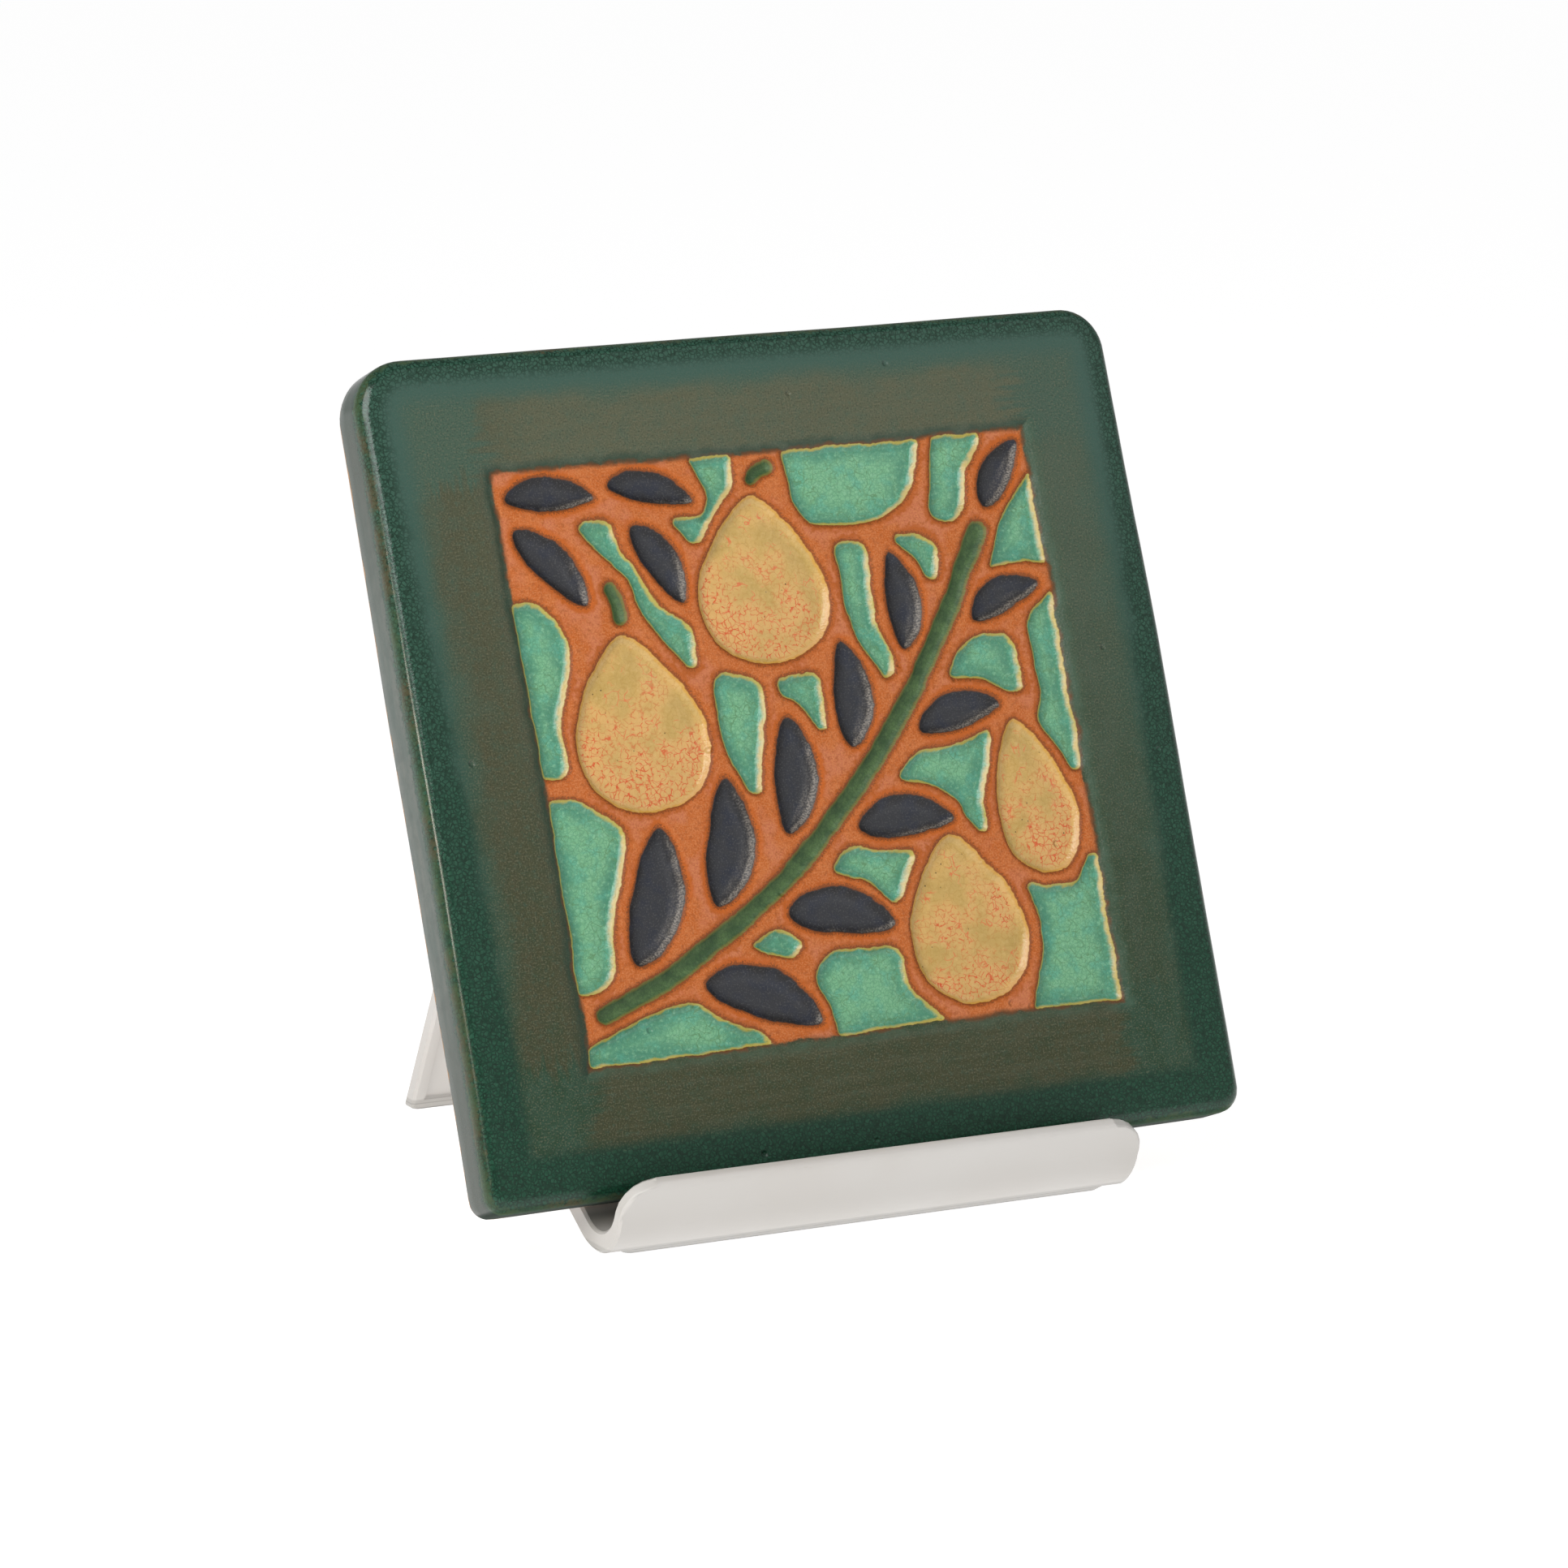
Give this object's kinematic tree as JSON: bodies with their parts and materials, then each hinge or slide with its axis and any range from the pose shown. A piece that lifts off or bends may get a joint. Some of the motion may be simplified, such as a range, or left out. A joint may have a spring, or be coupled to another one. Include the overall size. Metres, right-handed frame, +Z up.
{
  "type": "decorative tile on easel",
  "caption": "Square glazed art tile with a sunken bough, pear and leaf picture in a plain wide border, leaning back in a white moulded easel with a front channel and a rear leg.",
  "frame": {"origin": "on the table, under the middle of the bounding box", "axes": "+Z up, -Y towards the side that the tile's picture faces, +X to the right as the picture is seen"},
  "size_m": [0.1538, 0.1262, 0.1539],
  "materials": {
    "tile_glaze": null,
    "easel_plastic": "warm white, semi-gloss as moulded"
  },
  "bodies": {
    "root": {"tile": "tile_glaze", "easel": "easel_plastic"}
  },
  "joints": []
}
